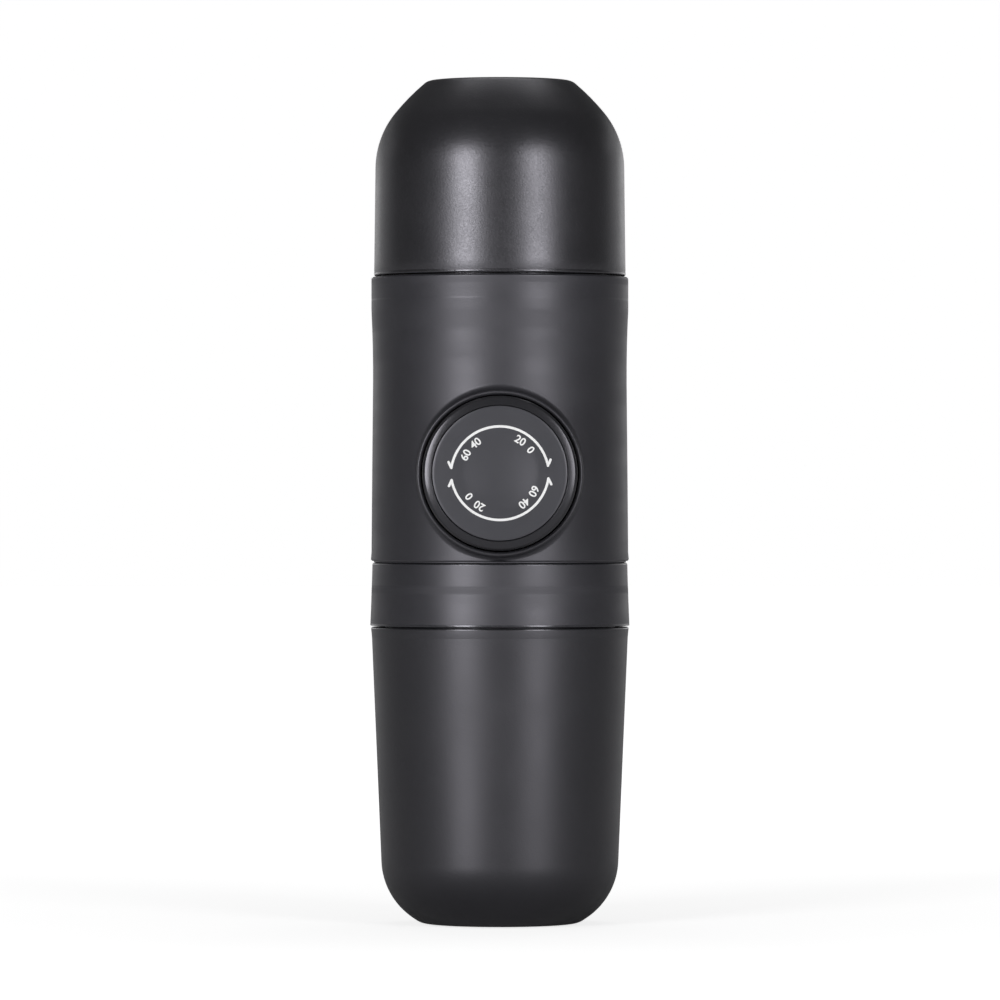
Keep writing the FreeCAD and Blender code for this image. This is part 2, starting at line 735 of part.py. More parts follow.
os.makedirs("parts", exist_ok=True)
for name, make in PARTS.items():
    shape = make()
    shape.exportStep("parts/" + name + ".step")
    print(name, shape.isValid(), len(shape.Solids), round(shape.Volume))
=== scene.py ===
import math

import bmesh
import bpy
from mathutils import Matrix, Vector


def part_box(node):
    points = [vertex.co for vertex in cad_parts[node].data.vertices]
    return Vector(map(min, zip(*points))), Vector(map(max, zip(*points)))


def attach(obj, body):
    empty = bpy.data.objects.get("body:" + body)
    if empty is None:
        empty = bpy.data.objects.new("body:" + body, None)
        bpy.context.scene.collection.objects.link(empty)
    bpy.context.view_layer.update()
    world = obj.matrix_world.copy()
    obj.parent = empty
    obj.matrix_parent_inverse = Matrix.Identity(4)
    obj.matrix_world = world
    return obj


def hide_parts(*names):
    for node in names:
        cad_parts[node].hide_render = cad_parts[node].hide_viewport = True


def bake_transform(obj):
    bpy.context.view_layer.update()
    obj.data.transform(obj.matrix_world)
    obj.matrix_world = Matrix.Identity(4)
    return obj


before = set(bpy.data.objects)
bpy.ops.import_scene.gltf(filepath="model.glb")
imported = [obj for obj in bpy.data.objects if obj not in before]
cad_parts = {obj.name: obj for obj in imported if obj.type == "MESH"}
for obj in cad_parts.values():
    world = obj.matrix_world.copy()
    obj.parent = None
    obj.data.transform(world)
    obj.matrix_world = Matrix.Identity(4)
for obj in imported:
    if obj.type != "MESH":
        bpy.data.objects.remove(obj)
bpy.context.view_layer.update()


# ---- Studio ----------------------------------------------------------------------------------------
# A long lens level with the middle of the maker, two tall soft lamps in front, one on each side, a low
# general light, and a pale floor and backdrop that show white to the eye and fainter in reflections; near
# the maker the floor's white is dimmed, as painted shade.
eye_height = 0.0904
eye_distance = 1.55


def put_in_scene(name, data):
    """New object at the origin that shows the data."""
    thing = bpy.data.objects.new(name, data)
    bpy.context.scene.collection.objects.link(thing)
    return thing


camera = put_in_scene("camera", bpy.data.cameras.new("camera"))
camera.location = (0.00003, -eye_distance, eye_height)
camera.rotation_euler = (math.radians(90), 0, 0)
camera.data.lens = 261.0
camera.data.sensor_width = 36.0
camera.data.clip_start = 0.05
bpy.context.scene.camera = camera
bpy.context.scene.view_settings.view_transform = "Standard"


def soft_lamp(name, azimuth, height, distance, size, watts):
    """Rectangular lamp that faces the middle of the maker; azimuth 0 is the camera's side."""
    data = bpy.data.lights.new(name, "AREA")
    data.shape = "RECTANGLE"
    data.size, data.size_y = size
    data.energy = watts
    lamp = put_in_scene(name, data)
    a = math.radians(azimuth)
    lamp.location = (distance * math.sin(a), -distance * math.cos(a), height)
    aim = Vector((0, 0, eye_height)) - lamp.location
    lamp.rotation_euler = aim.to_track_quat("-Z", "Y").to_euler()


soft_lamp("left strip", -32, 0.26, 1.1, (0.32, 0.58), 7.2)
soft_lamp("right strip", 34, 0.26, 1.1, (0.33, 0.58), 5.4)
soft_lamp("left rear panel", -140, 0.36, 1.7, (1.2, 0.72), 1.1)
soft_lamp("right rear panel", 140, 0.36, 1.7, (1.2, 0.72), 1.3)
soft_lamp("top light", 176, 1.0, 0.38, (0.7, 0.4), 1.3)


def maths(tree, operation, *given):
    """Result of a Math node; each given value is a number or a socket."""
    node = tree.nodes.new("ShaderNodeMath")
    node.operation = operation
    for socket, value in zip(node.inputs, given):
        if isinstance(value, bpy.types.NodeSocket):
            tree.links.new(value, socket)
        else:
            socket.default_value = value
    return node.outputs[0]


def ramp(tree, value, low, high, to_low, to_high):
    """A socket's value carried from the range low to high over to another range, and held at its ends."""
    node = tree.nodes.new("ShaderNodeMapRange")
    tree.links.new(value, node.inputs["Value"])
    for name, number in (("From Min", low), ("From Max", high), ("To Min", to_low), ("To Max", to_high)):
        node.inputs[name].default_value = number
    return node.outputs[0]


def seen_white(tree, gloss_share):
    """One for a ray from the camera or through glass, and gloss_share for a reflected ray."""
    path = tree.nodes.new("ShaderNodeLightPath").outputs
    gloss = maths(tree, "MULTIPLY", path["Is Glossy Ray"], gloss_share)
    return maths(tree, "MAXIMUM", maths(tree, "MAXIMUM", gloss, path["Is Transmission Ray"]),
                 path["Is Camera Ray"])


# Near the maker the floor's glow is painted dimmer, and in reflections its white is held back as painted
# shade.
whitens = (0.03, 0.6)  # metres from the maker's axis over which the floor gets whiter
reflection_shade_reach = (0.028, 0.1)  # metres from the axis over which its white comes up in reflections


def pale(name, colour, glow_near, glow_far, gloss_share):
    """Plain pale paint with a white glow, dimmer near the maker: painted shade there, which shows where the
    maker's shadow takes the lamps' light off the paint. Reflections see only a share of the glow, and none
    right under the maker, a painted shade in them.
    """
    material = bpy.data.materials.new(name)
    material.use_nodes = True
    tree = material.node_tree
    tree.nodes.clear()
    paint = tree.nodes.new("ShaderNodeBsdfDiffuse")
    paint.inputs["Color"].default_value = (colour, colour, colour, 1)
    place = tree.nodes.new("ShaderNodeTexCoord")
    reach = tree.nodes.new("ShaderNodeVectorMath")
    reach.operation = "LENGTH"
    white = tree.nodes.new("ShaderNodeEmission")
    nothing = tree.nodes.new("ShaderNodeEmission")
    nothing.inputs["Strength"].default_value = 0
    glow = tree.nodes.new("ShaderNodeMixShader")
    both = tree.nodes.new("ShaderNodeAddShader")
    out = tree.nodes.new("ShaderNodeOutputMaterial")
    link = tree.links.new
    link(place.outputs["Object"], reach.inputs[0])
    # Painted shade: the glow is dimmer near the maker.
    link(ramp(tree, reach.outputs["Value"], *whitens, glow_near, glow_far), white.inputs["Strength"])
    # Painted shade in reflections: they see none of the white right under the maker.
    link(seen_white(tree, ramp(tree, reach.outputs["Value"], *reflection_shade_reach, 0, gloss_share)), glow.inputs[0])
    link(nothing.outputs[0], glow.inputs[1])
    link(white.outputs[0], glow.inputs[2])
    link(paint.outputs[0], both.inputs[0])
    link(glow.outputs[0], both.inputs[1])
    link(both.outputs[0], out.inputs["Surface"])
    return material


def sheet_of(name, corners, material):
    """Flat sheet of the studio."""
    mesh = bpy.data.meshes.new(name)
    mesh.from_pydata(corners, [], [range(len(corners))])
    mesh.materials.append(material)
    piece = put_in_scene(name, mesh)


# The floor's glow is dimmed near the maker, to the eye and more in reflections: painted shade around its
# foot.
sheet_of("floor", [(-4, -4, -0.0002), (4, -4, -0.0002), (4, 6, -0.0002), (-4, 6, -0.0002)],
         pale("pale floor", 0.5, 0.78, 1.0, 0.18))
sheet_of("backdrop", [(-4, 6, -0.01), (4, 6, -0.01), (4, 6, 1.0), (-4, 6, 1.0)],
         pale("pale backdrop", 0.8, 0.95, 0.95, 1.0))

world = bpy.data.worlds.new("studio")
bpy.context.scene.world = world
world.use_nodes = True
sky = world.node_tree
sky.nodes.clear()
sky_dim = sky.nodes.new("ShaderNodeBackground")
sky_dim.inputs["Color"].default_value = (0.055, 0.055, 0.057, 1)
sky_white = sky.nodes.new("ShaderNodeBackground")
sky_white.inputs["Color"].default_value = (1, 1, 1, 1)
sky_mix = sky.nodes.new("ShaderNodeMixShader")
sky_out = sky.nodes.new("ShaderNodeOutputWorld")
sky.links.new(seen_white(sky, 0.02), sky_mix.inputs[0])
sky.links.new(sky_dim.outputs[0], sky_mix.inputs[1])
sky.links.new(sky_white.outputs[0], sky_mix.inputs[2])
sky.links.new(sky_mix.outputs[0], sky_out.inputs["Surface"])


# ---- Water tank ------------------------------------------------------------------------------------
# Satin black moulded cap, about 1.9 mm thick, that holds the water. Its neck screws into the pump body
# with a four-start quick thread.
straight_step = 3.0  # millimetres between the points of a straight length
bend_step = 2.5  # degrees between the points of a bend


def walked(start, heading, side, moves, inset=0.0):
    """Points of a moulded side in millimetres; a move is a straight length, then a bend (radius, degrees)."""
    h = math.radians(heading)
    r = start[0] - side * inset * math.sin(h)
    z = start[1] + side * inset * math.cos(h)
    points = [(r, z)]
    for length, radius, angle in moves:
        runs = max(1, round(length / straight_step)) if length else 0
        for k in range(1, runs + 1):
            points.append((r + length * math.cos(h) * k / runs, z + length * math.sin(h) * k / runs))
        r, z = points[-1]
        bend = radius - inset
        cr = r - side * bend * math.sin(h)
        cz = z + side * bend * math.cos(h)
        steps = max(4, round(angle / bend_step))
        for k in range(1, steps + 1):
            a = h + side * math.radians(angle) * k / steps
            points.append((cr + side * bend * math.sin(a), cz - side * bend * math.cos(a)))
        h += side * math.radians(angle)
        r, z = points[-1]
    return points


def smooth_piece(name, bm, crease):
    """Object with its faces outwards, smooth but for the edges that are sharper than crease, in degrees."""
    bmesh.ops.recalc_face_normals(bm, faces=bm.faces)
    mesh = bpy.data.meshes.new(name)
    bm.to_mesh(mesh)
    bm.free()
    mesh.polygons.foreach_set("use_smooth", [True] * len(mesh.polygons))
    mesh.set_sharp_from_angle(angle=math.radians(crease))
    return put_in_scene(name, mesh)


def turned(name, outline, segments=288):
    """Closed mesh turned about the upright axis from an outline of (radius, height) in millimetres."""
    bm = bmesh.new()
    turn = [2 * math.pi * k / segments for k in range(segments)]
    rings = []
    for r, z in outline:
        if r < 1e-6:
            rings.append([bm.verts.new((0, 0, z / 1000))])
            continue
        circle = [(r * math.cos(a) / 1000, r * math.sin(a) / 1000, z / 1000) for a in turn]
        rings.append([bm.verts.new(point) for point in circle])
    for one, two in zip(rings, rings[1:] + rings[:1]):
        if len(one) == 1 and len(two) == 1:
            continue
        for k in range(segments):
            n = (k + 1) % segments
            corners = [one[k % len(one)], one[n % len(one)], two[n % len(two)], two[k % len(two)]]
            bm.faces.new(list(dict.fromkeys(corners)))
    return smooth_piece(name, bm, 32)


def eased(corners, closed=True, steps=5):
    """Outline from corners (radius, height, ease); each corner is rounded to its ease, in millimetres."""
    out = []
    count = len(corners)
    for k, (r, z, ease) in enumerate(corners):
        here = Vector((r, z))
        if ease <= 0 or (not closed and k in (0, count - 1)):
            out.append((r, z))
            continue
        before = Vector(corners[k - 1][:2]) - here
        after = Vector(corners[(k + 1) % count][:2]) - here
        half = before.angle(after) / 2
        reach = min(ease / math.tan(half), before.length * 0.49, after.length * 0.49)
        a = here + before.normalized() * reach
        b = here + after.normalized() * reach
        for s in range(steps + 1):
            t = s / steps
            out.append(tuple(a * (1 - t) ** 2 + here * 2 * t * (1 - t) + b * t * t))
    return out


thread_lead = 20.0
ridge_foot, ridge_tip = 2.5, 1.7  # heights of a ridge at its root and at its crest
ridge_bite = 0.25  # how far a ridge reaches into the wall that it stands on
ridge_steps = 160  # sections in one full turn
ridge_fade = 4  # sections over which each end of a ridge comes up
ridge_end = 0.35  # share of its depth with which a ridge starts


def thread_ridge(name, base, crest, low, high, offset):
    """One helical ridge of the quick thread, right-handed, from radius base to radius crest."""
    buried = base - ridge_bite if crest > base else base + ridge_bite
    rise = high - low - ridge_foot
    start = low + ridge_foot / 2
    steps = max(12, round(rise / thread_lead * ridge_steps))
    bm = bmesh.new()
    rings = []
    for k in range(steps + 1):
        z = start + rise * k / steps
        a = 2 * math.pi * (z - offset) / thread_lead
        ends = min(1.0, min(k, steps - k) / ridge_fade)
        top = buried + (crest - buried) * (ridge_end + (1 - ridge_end) * ends)
        section = [(buried, -ridge_foot / 2), (top, -ridge_tip / 2)]
        section += [(top, ridge_tip / 2), (buried, ridge_foot / 2)]
        around = [(r * math.cos(a) / 1000, r * math.sin(a) / 1000, (z + w) / 1000) for r, w in section]
        rings.append([bm.verts.new(point) for point in around])
    for one, two in zip(rings, rings[1:]):
        for k in range(4):
            bm.faces.new((one[k], one[(k + 1) % 4], two[(k + 1) % 4], two[k]))
    bm.faces.new(rings[0])
    bm.faces.new(rings[-1])
    return smooth_piece(name, bm, 30)


def starts_tree():
    """Geometry tree that repeats one thread ridge evenly about the upright axis."""
    tree = bpy.data.node_groups.new("thread starts", "GeometryNodeTree")
    tree.interface.new_socket("Ridge", in_out="INPUT", socket_type="NodeSocketGeometry")
    tree.interface.new_socket("Starts", in_out="INPUT", socket_type="NodeSocketInt")
    tree.interface.new_socket("Plastic", in_out="INPUT", socket_type="NodeSocketMaterial")
    tree.interface.new_socket("Thread", in_out="OUTPUT", socket_type="NodeSocketGeometry")
    given = tree.nodes.new("NodeGroupInput")
    made = tree.nodes.new("NodeGroupOutput")
    points = tree.nodes.new("GeometryNodePoints")
    index = tree.nodes.new("GeometryNodeInputIndex")
    share = maths(tree, "DIVIDE", index.outputs[0], given.outputs["Starts"])
    spin = tree.nodes.new("ShaderNodeCombineXYZ")
    place = tree.nodes.new("GeometryNodeInstanceOnPoints")
    real = tree.nodes.new("GeometryNodeRealizeInstances")
    finish = tree.nodes.new("GeometryNodeSetMaterial")
    link = tree.links.new
    link(given.outputs["Starts"], points.inputs["Count"])
    link(maths(tree, "MULTIPLY", share, 2 * math.pi), spin.inputs["Z"])
    link(points.outputs[0], place.inputs["Points"])
    link(given.outputs["Ridge"], place.inputs["Instance"])
    link(spin.outputs[0], place.inputs["Rotation"])
    link(place.outputs[0], real.inputs[0])
    link(real.outputs[0], finish.inputs["Geometry"])
    link(given.outputs["Plastic"], finish.inputs["Material"])
    link(finish.outputs[0], made.inputs[0])
    return tree


def shaped_by(piece, tree, **values):
    """Run a geometry tree on a piece with named inputs, and keep the result as a plain mesh."""
    modifier = piece.modifiers.new(tree.name, "NODES")
    modifier.node_group = tree
    sockets = {s.name: s.identifier for s in tree.interface.items_tree if s.in_out == "INPUT"}
    for name, value in values.items():
        modifier[sockets[name]] = value
    bpy.context.view_layer.update()
    graph = bpy.context.evaluated_depsgraph_get()
    mesh = bpy.data.meshes.new_from_object(piece.evaluated_get(graph))
    piece.modifiers.clear()
    piece.data = mesh


def grain_group():
    """Moulded plastic: fine spark-eroded grain, scattered light specks that are partly painted glints of the
    grain, faint clouds and rubbed bands.
    """
    tree = bpy.data.node_groups.new("moulded grain", "ShaderNodeTree")
    for name, value in (("Grain per metre", 2600.0), ("Specks per metre", 1500.0),
                        ("Clouds per metre", 45.0), ("Bands per metre", 260.0)):
        tree.interface.new_socket(name, in_out="INPUT", socket_type="NodeSocketFloat").default_value = value
    for name in ("Height", "Specks", "Clouds", "Bands"):
        tree.interface.new_socket(name, in_out="OUTPUT", socket_type="NodeSocketFloat")
    given = tree.nodes.new("NodeGroupInput")
    made = tree.nodes.new("NodeGroupOutput")
    place = tree.nodes.new("ShaderNodeTexCoord")
    fine = tree.nodes.new("ShaderNodeTexNoise")
    fine.inputs["Detail"].default_value = 3
    fine.inputs["Roughness"].default_value = 0.65
    cells = tree.nodes.new("ShaderNodeTexVoronoi")
    cells.feature = "F1"
    cloud = tree.nodes.new("ShaderNodeTexNoise")
    cloud.inputs["Detail"].default_value = 4
    cloud.inputs["Roughness"].default_value = 0.55
    level = tree.nodes.new("ShaderNodeMapping")
    level.inputs["Scale"].default_value = (0.05, 0.05, 1)
    rubbed = tree.nodes.new("ShaderNodeTexNoise")
    rubbed.inputs["Detail"].default_value = 2
    link = tree.links.new
    link(place.outputs["Object"], level.inputs["Vector"])
    link(level.outputs[0], rubbed.inputs["Vector"])
    link(given.outputs["Bands per metre"], rubbed.inputs["Scale"])
    link(rubbed.outputs["Fac"], made.inputs["Bands"])
    for texture in (fine, cells, cloud):
        link(place.outputs["Object"], texture.inputs["Vector"])
    link(given.outputs["Grain per metre"], fine.inputs["Scale"])
    link(given.outputs["Specks per metre"], cells.inputs["Scale"])
    link(given.outputs["Clouds per metre"], cloud.inputs["Scale"])
    dots = ramp(tree, cells.outputs["Distance"], 0.05, 0.32, 1, 0)
    some_cells = maths(tree, "GREATER_THAN", cells.outputs["Color"], 0.72)
    link(maths(tree, "MULTIPLY", dots, some_cells), made.inputs["Specks"])
    link(fine.outputs["Fac"], made.inputs["Height"])
    link(cloud.outputs["Fac"], made.inputs["Clouds"])
    return tree


def level_mark_group():
    """Roughness that changes on one level band of a piece, such as a polished edge or a dull strip."""
    tree = bpy.data.node_groups.new("level mark", "ShaderNodeTree")
    for name, value in (("Height", 0.0), ("Half width", 0.001), ("Mark roughness", 0.2), ("Roughness", 0.4)):
        tree.interface.new_socket(name, in_out="INPUT", socket_type="NodeSocketFloat").default_value = value
    tree.interface.new_socket("Roughness", in_out="OUTPUT", socket_type="NodeSocketFloat")
    given = tree.nodes.new("NodeGroupInput")
    made = tree.nodes.new("NodeGroupOutput")
    place = tree.nodes.new("ShaderNodeTexCoord")
    parts = tree.nodes.new("ShaderNodeSeparateXYZ")
    blend = tree.nodes.new("ShaderNodeMix")
    link = tree.links.new
    link(place.outputs["Object"], parts.inputs[0])
    away = maths(tree, "ABSOLUTE", maths(tree, "SUBTRACT", parts.outputs["Z"], given.outputs["Height"]))
    share = maths(tree, "DIVIDE", away, given.outputs["Half width"])
    link(ramp(tree, share, 0.6, 1, 1, 0), blend.inputs["Factor"])
    link(given.outputs["Roughness"], blend.inputs["A"])
    link(given.outputs["Mark roughness"], blend.inputs["B"])
    link(blend.outputs["Result"], made.inputs["Roughness"])
    return tree


cloud_range = (0.25, 0.75)  # values between which the clouds lie
cloud_gloss = (-0.04, 0.05)  # what they do to the roughness at those values


def moulded(name, dark, light, rough, grain_depth, specks=0.0, grain=2600.0, specularity=0.5, bands=0.0,
            sparkle=0.0, sheen=(1.0, 1.0, 1.0), marks=()):
    """Moulded plastic finish: colour drifts from dark to light, with grain in the gloss and the surface.

    The depth of the grain is in millimetres. Each mark is (height, half width, roughness), the first two in
    millimetres: an edge polished by handling, or a dull strip."""
    material = bpy.data.materials.new(name)
    material.use_nodes = True
    tree = material.node_tree
    bsdf = tree.nodes["Principled BSDF"]
    bsdf.inputs["Specular IOR Level"].default_value = specularity
    bsdf.inputs["Specular Tint"].default_value = (*sheen, 1)
    texture = tree.nodes.new("ShaderNodeGroup")
    texture.node_tree = bpy.data.node_groups.get("moulded grain") or grain_group()
    texture.inputs["Grain per metre"].default_value = grain
    drift = tree.nodes.new("ShaderNodeMix")
    drift.data_type = "RGBA"
    drift.inputs["A"].default_value = (*dark, 1)
    drift.inputs["B"].default_value = (*light, 1)
    # Light flecks in the colour, partly painted glints of the grain.
    fleck_and_glint = tree.nodes.new("ShaderNodeMix")
    fleck_and_glint.data_type = "RGBA"
    fleck_and_glint.inputs["B"].default_value = (*[min(1, 2.2 * c + 0.02) for c in light], 1)
    bump = tree.nodes.new("ShaderNodeBump")
    bump.inputs["Distance"].default_value = grain_depth / 1000
    bump.inputs["Strength"].default_value = 1.0
    link = tree.links.new
    link(texture.outputs["Clouds"], drift.inputs["Factor"])
    link(maths(tree, "MULTIPLY", texture.outputs["Specks"], specks), fleck_and_glint.inputs["Factor"])
    link(drift.outputs["Result"], fleck_and_glint.inputs["A"])
    link(fleck_and_glint.outputs["Result"], bsdf.inputs["Base Color"])
    smoothest = rough - bands - sparkle / 2
    roughness = ramp(tree, texture.outputs["Clouds"], *cloud_range, *[smoothest + c for c in cloud_gloss])
    roughness = maths(tree, "MULTIPLY_ADD", texture.outputs["Bands"], 2 * bands, roughness)
    roughness = maths(tree, "MULTIPLY_ADD", texture.outputs["Height"], sparkle, roughness)
    for height, half_width, mark_roughness in marks:
        mark = tree.nodes.new("ShaderNodeGroup")
        mark.node_tree = bpy.data.node_groups.get("level mark") or level_mark_group()
        mark.inputs["Height"].default_value = height / 1000
        mark.inputs["Half width"].default_value = half_width / 1000
        mark.inputs["Mark roughness"].default_value = mark_roughness
        link(roughness, mark.inputs["Roughness"])
        roughness = mark.outputs[0]
    link(roughness, bsdf.inputs["Roughness"])
    link(texture.outputs["Height"], bump.inputs["Height"])
    link(bump.outputs[0], bsdf.inputs["Normal"])
    return material


blue_sheen = (0.93, 0.91, 1.0)
# The tank's light specks are partly painted glints of its grain.
tank_finish = moulded("satin tank plastic", (0.011, 0.011, 0.012), (0.015, 0.015, 0.017), 0.355, 0.024,
                      grain=2300.0, specks=0.3, specularity=1.0, bands=0.02, sparkle=0.24, sheen=blue_sheen,
                      marks=[(138.55, 0.3, 0.22)])

tank_low = 138.3
tank_top = 180.0
tank_radius = 26.88
tank_taper = 0.7
tank_wall = 1.9
dome_bend = (18.86, 38.75)
tank_bends = [(0, *dome_bend), (0, 48.9, 10.27), (0, 2.55, 40.28)]
rise = walked((tank_radius, 0), 90 + tank_taper, 1, tank_bends)[-1][1]
tank_bends[0] = ((tank_top - tank_low - rise) / math.cos(math.radians(tank_taper)), *dome_bend)
tank_outside = walked((tank_radius, tank_low), 90 + tank_taper, 1, tank_bends)
tank_inside = walked((tank_radius, tank_low), 90 + tank_taper, 1, tank_bends, tank_wall)
tank_outline = [(0, tank_top)] + [(r, tank_top) for r in (5, 10)] + tank_outside[:0:-1]

# A faint bead and a broken corner run around the foot; both are measured from the foot's own corner.
foot_bead = [(-0.01, 0.95), (-0.04, 0.84), (-0.04, 0.76), (0.0, 0.66), (0.03, 0.58), (0.03, 0.3)]
foot_bead += [(-0.02, 0.12), (-0.18, 0)]
tank_outline += [(tank_radius + r, tank_low + z) for r, z in foot_bead]

tank_root = 23.66
tank_crest = tank_root + 1.0
neck, neck_low, neck_corner = 23.11, 126.6, 126.8
groove, groove_low, groove_high = 21.81, 127.1, 128.7
mouth = 20.46
tank_floor = 140.2
inside_low = 141.5  # the inner side starts above the rounding of the floor
tank_outline += [(tank_root, tank_low), (tank_root, 129.2), (neck, 129.0), (neck, groove_high)]
tank_outline += [(groove, groove_high), (groove, groove_low), (neck, groove_low), (neck, neck_corner)]
tank_outline += [(neck - 0.2, neck_low), (mouth + 0.2, neck_low), (mouth, neck_corner), (mouth, 140.0)]
tank_outline += [(mouth + 0.2, tank_floor), (24.3, tank_floor), (24.8, 140.7)]
tank_outline += [p for p in tank_inside if p[1] > inside_low]
tank_outline += [(r, tank_top - tank_wall) for r in (10, 5, 0)]
tank = turned("water_tank_shell", tank_outline)
tank.data.materials.append(tank_finish)
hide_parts("water_tank")
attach(tank, "tank")

tank_thread = thread_ridge("water_tank_thread", tank_root, tank_crest, 129.4, 137.3, 0.0)
shaped_by(tank_thread, starts_tree(), Starts=4, Plastic=tank_finish)
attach(tank_thread, "tank")


# ---- Tank seal -------------------------------------------------------------------------------------
# Grey silicone ring, moulded in one piece and stretched over the tank's neck into its groove, so that the
# tank closes tight where it screws into the pump body.
def rubber(name, colour, rough):
    """Silicone or rubber: dull, with a trace of moulding bloom."""
    return moulded(name, [0.9 * c for c in colour], [1.12 * c for c in colour], rough, 0.004, grain=1800.0)


def dress(names, material):
    """Give carried-over solids their finish."""
    for name in names:
        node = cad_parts[name]
        node.data.materials.clear()
        node.data.materials.append(material)


silicone = rubber("grey silicone", (0.16, 0.16, 0.165), 0.55)
dress(["tank_o_ring"], silicone)


# ---- Pump body housing -----------------------------------------------------------------------------
# Soft-touch black shell, one moulding with the flared collar for the knob. Its side is a shallow waist,
# wider at the foot and at the top rim. The solid's own faces are kept, with the true normals of that side.
body_finish = moulded("soft-touch body plastic", (0.018, 0.018, 0.021), (0.022, 0.022, 0.026), 0.46, 0.012,
                      specularity=0.9, bands=0.05, sparkle=0.06, sheen=blue_sheen,
                      marks=[(137.85, 0.2, 0.24), (136.8, 0.7, 0.52), (133.1, 0.25, 0.41), (128.6, 2.6, 0.5)])


def circle_through(a, b, c):
    """Centre and radius of the arc through three points of the side."""
    d = 2 * (a[0] * (b[1] - c[1]) + b[0] * (c[1] - a[1]) + c[0] * (a[1] - b[1]))
    squares = [p[0] ** 2 + p[1] ** 2 for p in (a, b, c)]
    u = (squares[0] * (b[1] - c[1]) + squares[1] * (c[1] - a[1]) + squares[2] * (a[1] - b[1])) / d
    v = (squares[0] * (c[0] - b[0]) + squares[1] * (a[0] - c[0]) + squares[2] * (b[0] - a[0])) / d
    return (u, v), math.hypot(a[0] - u, a[1] - v)


body_low = 77.4
body_radius = 27.46
waist = (27.12, 114.9)
rim_low = 130.9  # the side is upright from here to the top
waist_arcs = [((27.48, 73.4), (27.32, 93.4125), waist), (waist, (27.21, 124.4), (body_radius, rim_low))]
foot_flare = (0.14, 1.7)  # how far the foot stands out, and how high that reaches
side_slack = 0.02  # how far a point of the side may lie from its arc
same_way = 0.97  # least cosine between a face of the side and the arc's normal


def side_of_body(z):
    """Radius and outward slope of the housing's side at a height, in millimetres."""
    if z > rim_low:
        return body_radius, 0.0
    arc = waist_arcs[0] if z < waist[1] else waist_arcs[1]
    (u, v), radius = circle_through(*arc)
    side = -1 if u > arc[0][0] else 1
    r = u + side * math.sqrt(max(radius * radius - (z - v) ** 2, 0))
    return r, -(z - v) / (r - u)


housing_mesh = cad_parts["body_housing"].data.copy()
bm = bmesh.new()
bm.from_mesh(housing_mesh)
bmesh.ops.remove_doubles(bm, verts=bm.verts, dist=2e-6)
bm.to_mesh(housing_mesh)
bm.free()
housing_mesh.polygons.foreach_set("use_smooth", [True] * len(housing_mesh.polygons))
housing_mesh.set_sharp_from_angle(angle=math.radians(28))
loop_normals = [Vector(n.vector) for n in housing_mesh.corner_normals]
for polygon in housing_mesh.polygons:
    for loop in polygon.loop_indices:
        x, y, z = housing_mesh.vertices[housing_mesh.loops[loop].vertex_index].co * 1000
        r = math.hypot(x, y)
        side, slope = side_of_body(z)
        stands_out = foot_flare[0] if z < body_low + foot_flare[1] else side_slack
        if not -side_slack < r - side < stands_out:
            continue
        true_normal = Vector((x / r, y / r, -slope)).normalized()
        if polygon.normal.dot(true_normal) > same_way:
            loop_normals[loop] = true_normal
housing_mesh.normals_split_custom_set(loop_normals)
housing_mesh.materials.clear()
housing_mesh.materials.append(body_finish)
housing = put_in_scene("pump_body_shell", housing_mesh)
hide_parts("body_housing")
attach(housing, "main_body")

# A shoulder under the foot closes the view through the seam above the outlet head.
shoulder_outline = [(24.9, body_low), (24.9, 77.08), (26.85, 77.08), (26.95, 77.16), (26.95, body_low)]
seam_shoulder = turned("pump_body_seam_shoulder", shoulder_outline)
seam_shoulder.data.materials.append(body_finish)
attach(seam_shoulder, "main_body")


# ---- Inside the pump body --------------------------------------------------------------------------
# Moulded cylinder with its two ball valves, bushing, plug and screws. They stay as the solids are; steel
# parts are rolled or turned, plastic parts are as moulded.
def steel(name, rough, brushed):
    """Stainless steel with fine turning or rolling lines."""
    material = bpy.data.materials.new(name)
    material.use_nodes = True
    tree = material.node_tree
    bsdf = tree.nodes["Principled BSDF"]
    bsdf.inputs["Metallic"].default_value = 1.0
    place = tree.nodes.new("ShaderNodeTexCoord")
    stretch = tree.nodes.new("ShaderNodeMapping")
    stretch.inputs["Scale"].default_value = brushed
    lines = tree.nodes.new("ShaderNodeTexNoise")
    lines.inputs["Scale"].default_value = 900
    lines.inputs["Detail"].default_value = 4
    tone = tree.nodes.new("ShaderNodeMix")
    tone.data_type = "RGBA"
    tone.inputs["A"].default_value = (0.52, 0.52, 0.53, 1)
    tone.inputs["B"].default_value = (0.66, 0.66, 0.66, 1)
    bump = tree.nodes.new("ShaderNodeBump")
    bump.inputs["Distance"].default_value = 0.000003
    link = tree.links.new
    link(place.outputs["Object"], stretch.inputs["Vector"])
    link(stretch.outputs[0], lines.inputs["Vector"])
    link(lines.outputs["Fac"], tone.inputs["Factor"])
    link(tone.outputs["Result"], bsdf.inputs["Base Color"])
    link(ramp(tree, lines.outputs["Fac"], 0, 1, rough - 0.06, rough + 0.08), bsdf.inputs["Roughness"])
    link(lines.outputs["Fac"], bump.inputs["Height"])
    link(bump.outputs[0], bsdf.inputs["Normal"])
    return material


